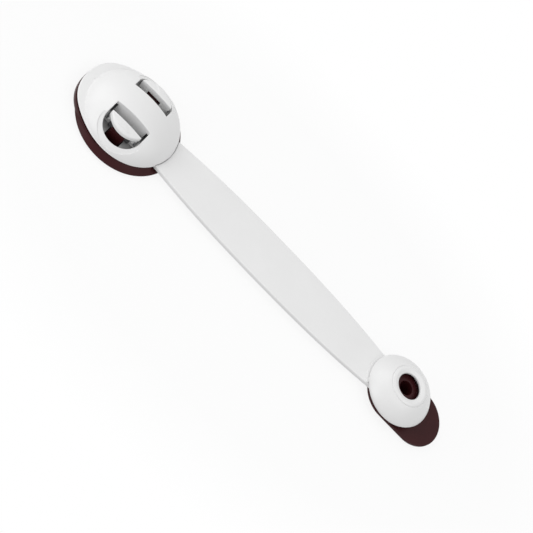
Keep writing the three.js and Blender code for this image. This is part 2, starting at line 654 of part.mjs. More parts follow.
// Anchor cap: white ring-shaped dome with a dished hole and two screw bosses inside
function anchorCap() {
  const outside = turned([
    [0, CAP_BOTTOM],
    ...capProfile(0, CAP_BOTTOM),
    [CAP_HOLE_RADIUS, CAP_CREST_Z - CAP_DISH_DEPTH],
    [0, CAP_CREST_Z - CAP_DISH_DEPTH],
  ]);
  const inner = capProfile(CAP_WALL, CAP_BOTTOM - 1);
  const cavity = turned([[0, CAP_BOTTOM - 1], ...inner, [0, CAP_CREST_Z - CAP_WALL]]);
  const hole = drum(0, 0, CAP_HOLE_RADIUS, CAP_BOTTOM, CAP_CREST_Z + 1);
  const limit = turned([
    [0, CAP_BOTTOM],
    ...capProfile(CAP_WALL / 2, CAP_BOTTOM),
    [0, CAP_CREST_Z - CAP_WALL / 2],
  ]);
  let cap = outside.subtract(cavity).subtract(hole);
  for (const y of [-CAP_BOSS_Y, CAP_BOSS_Y]) {
    const boss = drum(0, y, CAP_BOSS_RADIUS, CAP_BOTTOM, CAP_CREST_Z, SMALL).intersect(limit);
    const pilot = drum(0, y, PILOT_RADIUS, CAP_BOTTOM - 1, CAP_BOTTOM + SCREW_LENGTH - OVERLAP, SMALL);
    cap = cap.add(boss).subtract(pilot);
  }
  return cap;
}

// Anchor base: brown oblong plate with a hollow pivot post
function anchorBase() {
  const plate = prism(oblong(ANCHOR_PLATE_RADIUS), PLATE_BOTTOM, PLATE_TOP, ROUND / 2);
  const post = drum(0, 0, POST_RADIUS, PLATE_TOP - OVERLAP, POST_TOP);
  const bore = drum(0, 0, POST_BORE_RADIUS, PLATE_TOP, POST_TOP + 1);
  return plate.add(post).subtract(bore);
}

// Pivot rivet: brown flanged cup that holds the strap's hub down on the post
function pivotRivet() {
  const low = PLATE_TOP + CLEARANCE;
  const cup = RIVET_SHANK_RADIUS - RIVET_WALL;
  return turned([
    [0, low],
    [RIVET_SHANK_RADIUS, low],
    [RIVET_SHANK_RADIUS, RIVET_FLANGE_BOTTOM],
    [RIVET_FLANGE_RADIUS, RIVET_FLANGE_BOTTOM],
    [RIVET_FLANGE_RADIUS, RIVET_TOP - CLEARANCE],
    [RIVET_FLANGE_RADIUS - CLEARANCE, RIVET_TOP],
    [cup + 2 * CLEARANCE, RIVET_TOP + RIVET_CROWN],
    [cup, RIVET_TOP + RIVET_CROWN - CLEARANCE],
    [cup, low + RIVET_WALL],
    [0, low + RIVET_WALL],
  ], ROUND);
}

const WHITE = 0xf2f2f0;
const STRAP_WHITE = 0xe8e8e6;
const BROWN = 0x3d1719;
const FOAM = 0xd9d6cf;
const GREY = 0xb0b0b0;
const ACETAL = 0x69696b;
const STEEL = 0xb9bcc0;

const lock = new THREE.Group();
lock.name = 'strap_lock';

// Latch base on its pad
const latchPad = drum(0, 0, LATCH_BASE_RADIUS - PAD_INSET, 0, PAD_THICKNESS, FINE);
lock.add(piece('latch_base', latchBase(), BROWN, 0.35));
lock.add(piece('latch_pad', latchPad, FOAM, 0.95));

// Latch head with its strap half, frame, buttons, loops, springs and screws
lock.add(piece('head_cover', headCover(), WHITE, 0.25));
lock.add(piece('head_frame', headFrame(), GREY, 0.5));
lock.add(piece('strap_head_half', strapHeadHalf(), STRAP_WHITE, 0.5));
lock.add(piece('rear_button', button(), WHITE, 0.25));
lock.add(piece('front_button', frontOf(button()), WHITE, 0.25));
lock.add(piece('rear_latch_loop', latchLoop(), ACETAL, 0.4));
lock.add(piece('front_latch_loop', frontOf(latchLoop()), ACETAL, 0.4));
for (const [side, x] of [['left', -SPRING_X], ['right', SPRING_X]]) {
  const rear = piece(`rear_spring_${side}`, returnSpring(), STEEL, 0.3);
  rear.position.set(x, 0, SPRING_Z);
  lock.add(rear);
  const front = piece(`front_spring_${side}`, frontOf(returnSpring()), STEEL, 0.3);
  front.position.set(x, 0, SPRING_Z);
  lock.add(front);
}
const headScrews = [
  ['head_screw_front_left', -HEAD_BOSS_X, -HEAD_BOSS_Y, FRAME_BOTTOM],
  ['head_screw_rear_left', -HEAD_BOSS_X, HEAD_BOSS_Y, FRAME_BOTTOM],
  ['head_screw_front_right', HEAD_BOSS_X, -HEAD_BOSS_Y, STRAP_BOTTOM],
  ['head_screw_rear_right', HEAD_BOSS_X, HEAD_BOSS_Y, STRAP_BOTTOM],
];
for (const [name, x, y, bottom] of headScrews) {
  const placed = piece(name, screw(), STEEL, 0.3);
  placed.position.set(x, y, bottom + JOIN_GAP);
  lock.add(placed);
}

// Strap's anchor half and the swivelling anchor
lock.add(piece('strap_anchor_half', strapAnchorHalf(), STRAP_WHITE, 0.5));
const anchor = new THREE.Group();
anchor.name = 'anchor';
anchor.position.set(ANCHOR_X, 0, 0);
anchor.add(piece('anchor_cap', anchorCap(), WHITE, 0.25));
anchor.add(piece('anchor_base', anchorBase(), BROWN, 0.35));
anchor.add(piece('pivot_rivet', pivotRivet(), BROWN, 0.35));
const anchorPad = prism(oblong(ANCHOR_PLATE_RADIUS - PAD_INSET), 0, PAD_THICKNESS, ROUND / 2);
anchor.add(piece('anchor_pad', anchorPad, FOAM, 0.95));
for (const [name, y] of [['cap_screw_front', -CAP_BOSS_Y], ['cap_screw_rear', CAP_BOSS_Y]]) {
  const placed = piece(name, screw(), STEEL, 0.3);
  placed.position.set(0, y, STRAP_BOTTOM + JOIN_GAP);
  anchor.add(placed);
}
lock.add(anchor);

export default lock;
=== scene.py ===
import bmesh
import bpy
import numpy as np
from mathutils import Matrix


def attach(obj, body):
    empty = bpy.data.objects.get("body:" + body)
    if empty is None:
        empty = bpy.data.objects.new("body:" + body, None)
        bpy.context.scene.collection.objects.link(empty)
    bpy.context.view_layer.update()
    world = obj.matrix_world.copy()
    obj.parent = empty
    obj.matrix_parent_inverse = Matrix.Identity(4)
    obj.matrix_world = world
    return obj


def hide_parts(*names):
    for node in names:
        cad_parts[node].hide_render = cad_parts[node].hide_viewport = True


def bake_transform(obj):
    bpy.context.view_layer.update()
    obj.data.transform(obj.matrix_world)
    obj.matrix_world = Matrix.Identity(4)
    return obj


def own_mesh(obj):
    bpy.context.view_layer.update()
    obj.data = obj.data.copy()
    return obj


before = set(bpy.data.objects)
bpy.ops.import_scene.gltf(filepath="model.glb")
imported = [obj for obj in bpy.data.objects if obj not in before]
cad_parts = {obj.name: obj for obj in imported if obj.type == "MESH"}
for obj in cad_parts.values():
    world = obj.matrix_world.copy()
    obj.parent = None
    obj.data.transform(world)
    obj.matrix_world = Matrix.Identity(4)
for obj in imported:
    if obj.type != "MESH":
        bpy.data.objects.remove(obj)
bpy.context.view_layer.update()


# Latch pad
# A round of white closed-cell foam tape, die-cut from sheet, with acrylic glue on both faces.
# It holds the latch base to the furniture, so only its cut edge ever shows.
mm = 0.001


def linear(hex_colour):
    """Linear RGBA of an sRGB hex colour: c / 12.92 up to 0.04045, and above that
    ((c + 0.055) / 1.055) to the power 2.4."""
    srgb = np.array([int(hex_colour[i:i + 2], 16) for i in (1, 3, 5)]) / 255
    return (*np.where(srgb <= 0.04045, srgb / 12.92, ((srgb + 0.055) / 1.055) ** 2.4), 1.0)


def add_node(tree, kind, settings=None, **inputs):
    """One node with its settings. An input goes by its socket's name, or as _2 by its number, and
    is a plain value or a socket of another node to link from."""
    node = tree.nodes.new(kind)
    for key, value in (settings or {}).items():
        setattr(node, key, value)
    for key, value in inputs.items():
        name = int(key[1:]) if key[0] == "_" else key.replace("_", " ")
        if isinstance(value, bpy.types.NodeSocket):
            tree.links.new(value, node.inputs[name])
        else:
            node.inputs[name].default_value = value
    return node


def surface_finish(name, pale, deep, mottle_mm, grain_mm, grain_depth_mm, rough, **fixed):
    """A finish whose colour drifts from pale to deep over mottle_mm, with a surface grain of
    grain_mm by grain_depth_mm and a roughness that drifts between the two values of rough."""
    material = bpy.data.materials.new(name)
    material.use_nodes = True
    tree = material.node_tree
    shader = tree.nodes["Principled BSDF"]
    place = add_node(tree, "ShaderNodeTexCoord").outputs["Object"]
    mottle, grain = [
        add_node(
            tree, "ShaderNodeTexNoise", None, Vector=place, Scale=1 / (size * mm), Detail=detail,
        ).outputs["Fac"]
        for size, detail in ((mottle_mm, 3.0), (grain_mm, 2.0))
    ]
    colour = add_node(
        tree, "ShaderNodeMix", {"data_type": "RGBA"}, _0=mottle, _6=linear(pale), _7=linear(deep),
    )
    sheen = add_node(
        tree, "ShaderNodeMapRange", None,
        Value=mottle, From_Min=0.3, From_Max=0.7, To_Min=rough[0], To_Max=rough[1],
    )
    relief = add_node(
        tree, "ShaderNodeBump", None, Height=grain, Strength=1.0, Distance=grain_depth_mm * mm,
    )
    tree.links.new(colour.outputs[2], shader.inputs["Base Color"])
    tree.links.new(sheen.outputs["Result"], shader.inputs["Roughness"])
    tree.links.new(relief.outputs["Normal"], shader.inputs["Normal"])
    for key, value in fixed.items():
        shader.inputs[key.replace("_", " ")].default_value = value
    return material


def rectangle(x, y):
    """The four corners of a rectangle over the spans x and y."""
    return [(x[0], y[0]), (x[1], y[0]), (x[1], y[1]), (x[0], y[1])]


def softened(corners, reach, steps=6, closed=False):
    """A polyline with rounded corners. Each corner C, with A and B at a short reach along its two
    edges, becomes the curve (1 - t)^2 A + 2 t (1 - t) C + t^2 B. An open line keeps its ends."""
    c = np.asarray(corners, float)
    reach = np.broadcast_to(np.asarray(reach, float), len(c)).copy()
    if not closed:
        reach[[0, -1]] = 0
    back, ahead = np.roll(c, 1, axis=0) - c, np.roll(c, -1, axis=0) - c
    a = c + back * (reach / np.linalg.norm(back, axis=1))[:, None]
    b = c + ahead * (reach / np.linalg.norm(ahead, axis=1))[:, None]
    a, b, c = a[:, None], b[:, None], c[:, None]
    t = np.linspace(0, 1, steps)[None, :, None]
    line = ((1 - t) ** 2 * a + 2 * t * (1 - t) * c + t ** 2 * b).reshape(-1, 2)
    return np.vstack([line, line[:1]]) if closed else line


def swung(radius, height, angle, centre=0.0):
    """Points swung round the upright axis at x = centre: x = centre + radius cos(angle),
    y = radius sin(angle) and z = height."""
    x, y = centre + radius * np.cos(angle), radius * np.sin(angle)
    return np.stack(np.broadcast_arrays(x, y, height), axis=-1)


def turned(profile, sides=180, centre=0.0):
    """A profile of (radius, height) points swung once round the upright axis at x = centre."""
    return swung(profile[:, :1], profile[:, 1:], np.linspace(0, 2 * np.pi, sides + 1), centre)


def skin(name, patches, material, sharp=38.0):
    """One mesh from grids of points in mm. Each grid cell is a quad, touching borders and poles
    are welded, faces turn outwards, and edges bent by more than sharp degrees stay crisp."""
    rows = np.array([p.shape[0] for p in patches])
    columns = np.array([p.shape[1] for p in patches])
    starts = np.concatenate([[0], np.cumsum(rows * columns)[:-1]])
    quads = []
    for row, column, start in zip(rows, columns, starts):
        cell = start + np.arange(row - 1)[:, None] * column + np.arange(column - 1)
        corners = [cell, cell + 1, cell + column + 1, cell + column]
        quads.append(np.stack(corners, axis=-1).reshape(-1, 4))
    points = np.concatenate([p.reshape(-1, 3) for p in patches]) * mm
    weld, sliver = 0.002 * mm, 0.0001 * mm
    mesh = bpy.data.meshes.new(name)
    mesh.from_pydata(points.tolist(), [], np.concatenate(quads).tolist())
    work = bmesh.new()
    work.from_mesh(mesh)
    bmesh.ops.remove_doubles(work, verts=work.verts, dist=weld)
    bmesh.ops.dissolve_degenerate(work, edges=work.edges, dist=sliver)
    bmesh.ops.recalc_face_normals(work, faces=work.faces)
    work.to_mesh(mesh)
    work.free()
    mesh.polygons.foreach_set("use_smooth", np.ones(len(mesh.polygons), bool))
    mesh.set_sharp_from_angle(angle=np.radians(sharp))
    mesh.materials.append(material)
    piece = bpy.data.objects.new(name, mesh)
    bpy.context.scene.collection.objects.link(piece)
    return piece


# Foam scatters light evenly and shows its cut cells as a fine matt grain
foam_tape = surface_finish(
    "die_cut_foam_tape", "#e4e0d6", "#cfc9bb",
    mottle_mm=4.0, grain_mm=0.5, grain_depth_mm=0.12, rough=(0.85, 0.98), IOR=1.4,
)
pad_radius, pad_height, pad_edge = 19.9, 0.9, 0.15
pad_profile = softened(rectangle((0, pad_radius), (0, pad_height)), pad_edge)
latch_pad = skin("latch_pad_foam", [turned(pad_profile)], foam_tape)
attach(latch_pad, "base")
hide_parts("latch_pad")


# Latch base
# A dark maroon-brown ABS moulding: a round plate with a sloped ring, a tongue under the head's
# lifting lip, a gap in the ring where the strap passes, and two upright catch posts, each with a
# tooth that the head snaps on to.
def plate(outline, steps):
    """A closed outline of (x, y) carried through (inset, height) steps. Each ring is the outline
    moved inwards along its normals by the inset, and both ends close on the outline's middle."""
    ahead = np.roll(outline[:-1], -1, axis=0) - np.roll(outline[:-1], 1, axis=0)
    normal = np.stack([ahead[:, 1], -ahead[:, 0]], axis=1)
    normal /= np.linalg.norm(normal, axis=1)[:, None]
    normal = np.vstack([normal, normal[:1]])
    inset, height = np.asarray(steps, float).T
    rings = outline[None] - inset[:, None, None] * normal[None]
    middle = np.broadcast_to(outline[:-1].mean(axis=0), rings[:1].shape)
    flat = np.concatenate([middle, rings, middle])
    z = np.concatenate([height[:1], height, height[-1:]])[:, None]
    return np.stack(np.broadcast_arrays(flat[..., 0], flat[..., 1], z), axis=-1)


def block(x, y, z, edge=0.25):
    """A box over the spans x, y and z with rounded edges: a rounded rectangle carried upwards and
    drawn in at both ends along a quarter circle, by less than its corners are rounded."""
    outline = softened(rectangle(x, y), 1.6 * edge, 5, closed=True)
    bend = np.linspace(0, np.pi / 2, 5)
    low = np.stack([edge * (1 - np.sin(bend)), z[0] + edge * (1 - np.cos(bend))], axis=1)
    high = np.stack([edge * (1 - np.cos(bend)), z[1] - edge * (1 - np.sin(bend))], axis=1)
    return plate(outline, np.vstack([low, high]))


def capped(grid):
    """A grid whose columns are closed rings, with each end closed on the middle of its ring."""
    middles = np.broadcast_to(grid[:-1].mean(axis=0), grid.shape)
    return np.concatenate([middles[:, :1], grid, middles[:, -1:]], axis=1)


def both_sides(patches):
    """The same grids on the rear (+Y) side and mirrored to the front (-Y) side."""
    return [*patches, *[p * (1, -1, 1) for p in patches]]


lip_half_angle, lip_reach, lip_end = 44.0, 3.5, 80.0


def lip_bulge(from_lip):
    """How far the lip stands out at an angle in degrees from its middle: its reach over 1 plus the
    fourth power of that angle over the lip's half angle."""
    return lip_reach / (1 + (from_lip / lip_half_angle) ** 4)


# Dark moulded ABS: a deep body colour under a smooth skin, with faint flow marks and a soft gloss
brown_abs = surface_finish(
    "moulded_maroon_brown_abs", "#3f191b", "#301113",
    mottle_mm=9.0, grain_mm=0.7, grain_depth_mm=0.004, rough=(0.3, 0.4),
    IOR=1.53, Specular_IOR_Level=0.13,
)
base_radius, base_low, base_edge, base_top = 21.7, 1.0, 1.55, 2.3
ring_outer, ring_inner, ring_top = 19.1, 17.9, 3.9
strap_gap_half, gap_wall_half_angle = 9.05, 0.1
base_profile = softened(
    [(0, base_low), (base_radius, base_low), (base_radius, base_edge), (ring_outer, ring_top),
     (ring_inner, ring_top), (ring_inner, base_top), (0, base_top)],
    [0, 0.22, 0.3, 0.3, 0.3, 0.2, 0],
)
strap_gap = np.degrees(np.arcsin(strap_gap_half / ring_outer))
gap_walls = [
    side * strap_gap + step
    for side in (-1, 1) for step in (-gap_wall_half_angle, gap_wall_half_angle)
]
base_angle = np.sort(np.concatenate([np.linspace(-180, 180, 193), gap_walls]))
ring_stands = np.abs(base_angle) > strap_gap
base_r, base_z = base_profile[:, :1], base_profile[:, 1:]
base_z = np.where(ring_stands, base_z, np.minimum(base_z, base_top))
base_grid = swung(base_r, base_z, np.radians(base_angle))

# The tongue's section runs from its root, 0, to its outer edge, 1, which follows the lip
tongue_root, tongue_rim, tongue_low, tongue_high, tongue_edge = 18.5, 19.7, 1.3, 3.55, 0.14
tongue_angle = np.linspace(-lip_end, lip_end, 97)
tongue_corners = rectangle((0, 1), (tongue_low, tongue_high))
tongue_section = softened(tongue_corners, tongue_edge, closed=True)
tongue_outer = tongue_rim + lip_bulge(tongue_angle)
tongue_r = tongue_root + tongue_section[:, :1] * (tongue_outer - tongue_root)
tongue = capped(swung(-tongue_r, tongue_section[:, 1:], np.radians(tongue_angle)))

# The tooth is a profile of (y, z) points, from the post to the tip, carried along x
catch_post = block(x=(-3.1, 3.1), y=(11.8, 13.4), z=(2.0, 8.7))
tooth_root, tooth_ledge, tooth_tip = 12.1, 11.7, 10.1
tooth_low, tooth_tip_high, tooth_high = 6.6, 7.4, 8.4
tooth_half, tooth_round, tooth_inset = 2.65, 0.15, 0.09
tooth_outline = softened(
    [(tooth_root, tooth_low), (tooth_root, tooth_high), (tooth_ledge, tooth_high),
     (tooth_tip, tooth_tip_high), (tooth_tip, tooth_low)],
    tooth_round, closed=True,
)
tooth_steps = [
    (tooth_inset, -tooth_half), (0, tooth_round - tooth_half),
    (0, tooth_half - tooth_round), (tooth_inset, tooth_half),
]
tooth = plate(tooth_outline, tooth_steps)[..., [2, 0, 1]]
latch_base = skin(
    "latch_base_moulding", [base_grid, tongue, *both_sides([catch_post, tooth])], brown_abs,
)
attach(latch_base, "base")
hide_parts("latch_base")


# Head frame
# A flat moulding of grey ABS under the cover, with rails for the buttons' feet and a wall that the
# springs push against. It keeps its CAD shape and sits deep inside the head, in little light. Its
# grey is partly painted shade, set dark so that the slots and floor under the buttons look shaded.

# Unpolished ABS: an even grey with a dull skin and only a weak shine. The grey is partly painted
# shade, set darker so that the head's interior under the buttons looks shaded.
grey_abs_with_painted_shade = surface_finish(
    "grey_abs_unpolished_with_painted_shade", "#b4b4b4", "#a9a9a9",
    mottle_mm=8.0, grain_mm=0.5, grain_depth_mm=0.006, rough=(0.5, 0.6),
    IOR=1.53, Specular_IOR_Level=0.3,
)
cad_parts["head_frame"].material_slots[0].material = grey_abs_with_painted_shade


# Buttons
# Two white ABS buttons, a little proud of the dome, that thumb and finger squeeze together. Each is
# a crowned tab with a bevelled outer edge and a low triangle that shows which way to push. Under it
# are a skirt with two flanks, and two legs with sliding feet and pins that hold the springs.
def tube(path, radius, sides=12):
    """A round profile carried along a path and closed at both ends. Each ring is the path's point
    plus radius (cos(angle) across + sin(angle) up). Across is square to the tangent and to a lean
    that no path here runs along, and up is square to the tangent and to across."""
    lean = (0.31, 0.17, 0.94)
    tangent = np.gradient(path, axis=0)
    tangent /= np.linalg.norm(tangent, axis=1)[:, None]
    across = np.cross(tangent, lean)
    across /= np.linalg.norm(across, axis=1)[:, None]
    up = np.cross(tangent, across)
    angle = np.linspace(0, 2 * np.pi, sides + 1)[None, :, None]
    round_path = np.cos(angle) * across[:, None] + np.sin(angle) * up[:, None]
    rings = path[:, None] + radius * round_path
    ends = np.broadcast_to(path[:, None], rings.shape)
    return np.concatenate([ends[:1], rings, ends[-1:]])


def border(grid):
    """The closed line of points round a grid's edge."""
    return np.concatenate([grid[0], grid[1:, -1], grid[-1, -2::-1], grid[-2::-1, 0]])


def left_and_right(patch):
    """A grid on the right (+X) side, and its mirror on the left."""
    return [patch, patch * (-1, 1, 1)]


# Polished white ABS: bright, with a gloss that the mould's polish leaves a little uneven
white_abs = surface_finish(
    "moulded_polished_white_abs", "#ececec", "#e7e7e7",
    mottle_mm=12.0, grain_mm=0.9, grain_depth_mm=0.003, rough=(0.32, 0.4), IOR=1.53,
)

# The tab's grid runs from a straight inner edge to an outer arc, with lines closer near its edges
tab_half, tab_inner, tab_arc, tab_arc_middle, tab_crowding = 7.1, 9.8, 8.3, 5.95, 0.35
tab_peak, tab_crown_across, tab_crown_out = 12.49, 60.0, 27.0
tab_wall, tab_edge, bevel_start, bevel_drop = 2.0, 0.35, 0.7, 0.6
arrow_tip, arrow_foot, arrow_flare, arrow_cosine, arrow_rise = 11.0, 12.9, 0.62, 0.85, 0.18
even = np.linspace(-1, 1, 121)
eased = tab_crowding * np.sin(even * np.pi / 2) + (1 - tab_crowding) * even
tab_x, tab_v = np.meshgrid(tab_half * eased, (eased[::2] + 1) / 2)
tab_far = tab_arc_middle + np.sqrt(tab_arc ** 2 - tab_x ** 2)
tab_y = tab_inner + (tab_far - tab_inner) * tab_v

# Its height is a crown, less a rounded edge and the bevel, plus the triangle with its steep sides
crown_across = tab_x ** 2 / (2 * tab_crown_across)
crown_out = (tab_y - tab_inner) ** 2 / (2 * tab_crown_out)
tab_mound = tab_peak - crown_across - crown_out
edge_distance = np.minimum.reduce([
    tab_half - np.abs(tab_x), 2 * (tab_y - tab_inner), tab_far - tab_y,
])
edge_share = np.clip(1 - edge_distance / tab_edge, 0, 1)
edge_fall = tab_edge * (1 - np.sqrt(1 - edge_share ** 2))
tab_depth = (tab_far - tab_inner) / (tab_arc_middle + tab_arc - tab_inner)
bevel = bevel_drop * tab_depth * np.clip((tab_v - bevel_start) / (1 - bevel_start), 0, 1)
arrow_side = (tab_y - arrow_tip - arrow_flare * np.abs(tab_x)) * arrow_cosine
arrow_depth = np.minimum(arrow_foot - tab_y, arrow_side)
arrow = arrow_rise * np.clip(arrow_depth / arrow_rise, 0, 1)
tab_top = np.stack([tab_x, tab_y, tab_mound - edge_fall + arrow - bevel], axis=-1)
tab_under = np.stack([tab_x, tab_y, tab_mound - tab_wall], axis=-1)
tab_side = np.stack([border(tab_top), border(tab_under)])

spring_x, spring_z, pin_inner, pin_outer, pin_radius = 6.1, 6.02, 8.6, 10.1, 0.45
skirt = block(x=(-6.6, 6.6), y=(9.83, 10.4), z=(9.9, 11.2), edge=0.08)
flank = block(x=(3.05, 6.9), y=(9.85, 10.12), z=(7.95, 10.2), edge=0.06)
leg_outline = softened(rectangle(x=(4.98, 5.75), y=(9.88, 10.3)), 0.15, 4, closed=True)
leg = plate(leg_outline, [(0.09, 5.0), (0.03, 5.05), (0, 5.2), (0, 10.6)])
foot = block(x=(5.0, 8.2), y=(9.8, 10.15), z=(5.0, 5.45), edge=0.1)
pins = [
    tube(np.linspace((x, pin_inner, spring_z), (x, pin_outer, spring_z), 4), pin_radius)
    for x in (-spring_x, spring_x)
]
button_patches = [
    tab_top, tab_under, tab_side, skirt,
    *left_and_right(flank), *left_and_right(leg), *left_and_right(foot), *pins,
]
head_sides = (("rear", 1), ("front", -1))
for end, side in head_sides:
    button = skin(f"{end}_button_moulding", [p * (1, side, 1) for p in button_patches], white_abs)
    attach(button, f"{end}_push")
    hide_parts(f"{end}_button")


# Latch loops
# A springy U of acetal hangs below each button's skirt: two rails and a bar, which hooks under
# the catch post's tooth. Its grey is painted shade, which darkens the zone under the tab.

# Moulded acetal with a waxy satin skin, coloured a mid grey that is painted shade for the zone
# under the tab
acetal = surface_finish(
    "grey_acetal_painted_shade", "#6e6e70", "#646466",
    mottle_mm=6.0, grain_mm=0.4, grain_depth_mm=0.006, rough=(0.38, 0.48), IOR=1.48,
)
loop_rail = block(x=(3.05, 4.93), y=(10.15, 10.7), z=(5.0, 9.86), edge=0.08)
loop_bar = block(x=(-4.8, 4.8), y=(9.85, 10.98), z=(5.02, 6.2), edge=0.08)
loop_patches = [*left_and_right(loop_rail), loop_bar]
for end, side in head_sides:
    loop = skin(f"{end}_latch_loop_moulding", [p * (1, side, 1) for p in loop_patches], acetal)
    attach(loop, f"{end}_push")
    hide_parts(f"{end}_latch_loop")


# Return springs
# Four coils of bright spring steel wire, two behind each button, between the frame's wall and the
# button's legs. Each shortens as its button is pushed in.

# Drawn wire: a bright metal with a fine grain, coarser here than the real one so that it shows
spring_steel = surface_finish(
    "drawn_spring_steel_wire", "#a9adb2", "#969a9f",
    mottle_mm=1.5, grain_mm=0.12, grain_depth_mm=0.004, rough=(0.24, 0.36), Metallic=1.0,
)
coil_start, coil_end, coil_radius, wire_radius = 1.92, 9.28, 0.8, 0.22
coil_turns, turn_steps = 5, 24
coil_t = np.linspace(0, 1, turn_steps * coil_turns + 1)
coil_angle = 2 * np.pi * coil_turns * coil_t
coil_path = np.stack([
    coil_radius * np.cos(coil_angle),
    coil_start + (coil_end - coil_start) * coil_t,
    spring_z + coil_radius * np.sin(coil_angle),
], axis=1)
for end, side in head_sides:
    for hand, x in (("left", -spring_x), ("right", spring_x)):
        coil = tube(coil_path * (1, side, 1) + (x, 0, 0), wire_radius, 10)
        spring = skin(f"{end}_spring_{hand}_coil", [coil], spring_steel)
        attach(spring, "head")
        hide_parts(f"{end}_spring_{hand}")
        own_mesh(spring)


# Strap
# One flat band of white flexible polypropylene, wider in the middle, with rounded edges. Its head
# end is screwed under the cover. Its other end goes over a low round step into a hub with a bearing
# sleeve.
strap_start, strap_end, strap_low, strap_high, strap_edge = 9.0, 137.6, 2.7, 4.7, 0.55
strap_middle, strap_reach, strap_half, strap_taper, strap_power = 74.65, 55.05, 10.9, 2.65, 2.4


def strap_half_width(x):
    """Half width along the strap: that of its middle, less the taper times a power of the place,
    which is the distance from the middle over the reach."""
    return strap_half - strap_taper * (np.abs(x - strap_middle) / strap_reach) ** strap_power


# Flexible polypropylene: a satin white, duller than the head's polish, with a fine mould texture
# that is coarser here than the real one so that it shows
white_strap = surface_finish(
    "moulded_white_polypropylene", "#f0f0f0", "#e9e9e9",
    mottle_mm=14.0, grain_mm=0.6, grain_depth_mm=0.006, rough=(0.42, 0.52), IOR=1.49,
)

# The band's section is a rectangle with quarter-circle corners
corner_points = 7
quarter = np.arange(4).repeat(corner_points)
turn = np.radians(quarter * 90 + np.tile(np.linspace(0, 90, corner_points), 4))
turn, quarter = np.append(turn, turn[0])[:, None], np.append(quarter, quarter[0])[:, None]
outwards, upwards = np.array([1, -1, -1, 1])[quarter], np.array([1, 1, -1, -1])[quarter]
strap_x = np.linspace(strap_start, strap_end, 260)
band_y = outwards * (strap_half_width(strap_x) - strap_edge) + strap_edge * np.cos(turn)
band_z = (strap_low + strap_high) / 2 + upwards * ((strap_high - strap_low) / 2 - strap_edge)
band_z = band_z + strap_edge * np.sin(turn)
band = capped(np.stack(np.broadcast_arrays(strap_x, band_y, band_z), axis=-1))

anchor_x = 144.1
sleeve_inner, sleeve_outer, sleeve_top = 5.8, 6.8, 8.0
hub_radius, hub_low, hub_high = 11.9, 2.72, 4.68
hub_section = softened(
    [(sleeve_inner, hub_low), (hub_radius, hub_low), (hub_radius, hub_high),
     (sleeve_outer, hub_high), (sleeve_outer, sleeve_top), (sleeve_inner, sleeve_top)],
    [0.2, 0.6, 0.6, 0.3, 0.2, 0.2], closed=True,
)
step_inner, step_outer, step_low, step_high = 13.0, 15.2, 4.5, 4.95
step_edge, step_half_angle = 0.12, 31
step_corners = rectangle((step_inner, step_outer), (step_low, step_high))
step_section = softened(step_corners, step_edge, 4, closed=True)
step_angle = np.radians(np.linspace(180 - step_half_angle, 180 + step_half_angle, 49))
strap_step = capped(swung(step_section[:, :1], step_section[:, 1:], step_angle, anchor_x))
strap = skin("strap_band", [band, turned(hub_section, 120, anchor_x), strap_step], white_strap)
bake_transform(strap)
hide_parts("strap_head_half", "strap_anchor_half")


# Screws
# Small zinc-plated steel screws, driven up from below: four hold the frame and the strap's end to
# the cover, two hold the anchor cap to the strap's hub. They keep their CAD shape.

# Zinc plate: a bluish bright metal, slightly clouded
zinc_steel = surface_finish(
    "zinc_plated_steel_screw", "#b9bdc2", "#a5a9ae",
    mottle_mm=0.8, grain_mm=0.15, grain_depth_mm=0.003, rough=(0.28, 0.42), Metallic=1.0,
)
head_screws = [
    f"head_screw_{end}_{hand}" for end in ("front", "rear") for hand in ("left", "right")
]
for name in [*head_screws, "cap_screw_front", "cap_screw_rear"]:
    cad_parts[name].material_slots[0].material = zinc_steel


# Head cover
# A polished white ABS dome with two D-shaped windows for the buttons, a flat finger rest cut into
# the rim outside each window, a ridge between the windows, and a lip to lift it by on the end away
# from the strap.
dome_radius, dome_rise, dome_foot, dome_fullness = 19.6, 9.45, 4.4, 0.65
lip_rise, lip_slope, lip_fillet, lip_round, least_round = 1.0, 0.1, 0.2, 0.43, 0.02


def dome_height(x, y, inset=0.0):
    """Height of the head's dome: z = foot + rise (1 - r^2 / radius^2) to the power of the fullness,
    with the rise and the radius drawn in by the inset."""
    share = np.clip(1 - (x ** 2 + y ** 2) / (dome_radius - inset) ** 2, 0, None)
    return dome_foot + (dome_rise - inset) * share ** dome_fullness


def blended_higher(a, b, k):
    """The higher of two heights, eased over about k where they cross:
    k log(exp(a / k) + exp(b / k))."""
    return k * np.logaddexp(a / k, b / k)


def rim_radius(angle):
    """The rim's radius by direction: the dome's, plus the lip's bulge about the -X direction."""
    return dome_radius + lip_bulge(np.degrees(np.pi - np.abs(angle)))


def cover_height(x, y):
    """Outer height of the cover: the dome, running out into the lip over a hollow fillet, less the
    fall of a quarter circle at the lip's edge."""
    r, edge = np.hypot(x, y), rim_radius(np.arctan2(y, x))
    share = (edge - dome_radius) / lip_reach
    lip = dome_foot + share * (lip_rise - lip_slope * np.clip(r - dome_radius, 0, None))
    height = blended_higher(dome_height(x, y), lip, least_round + lip_fillet * share)
    fall = least_round + lip_round * share
    return height - fall * (1 - np.sqrt(1 - np.clip((r - edge + fall) / fall, 0, 1) ** 2))


# Half the cover is a ring of columns from the window's outline to the rim: along the ridge, up the
# right side, round the window's elliptic end and down the left side. They are closest on the ridge
# where they end on the lip's fillet.
window_half, window_inner, window_shoulder, window_outer = 8.05, 5.6, 10.4, 17.0
ridge_half, ridge_seam, ridge_close = 7.1, 0.02, 6.4
ridge_x = np.concatenate([
    np.linspace(-window_half, -ridge_half - ridge_seam, 5),
    np.linspace(-ridge_half, -ridge_close, 13),
    np.linspace(-ridge_close, ridge_half, 39)[1:],
    np.linspace(ridge_half + ridge_seam, window_half, 5),
])
side_share = np.linspace(0, 1, 31)
climb, descent = side_share[:-1], 1 - side_share[1:]
end_angle = np.linspace(0, np.pi, 141)


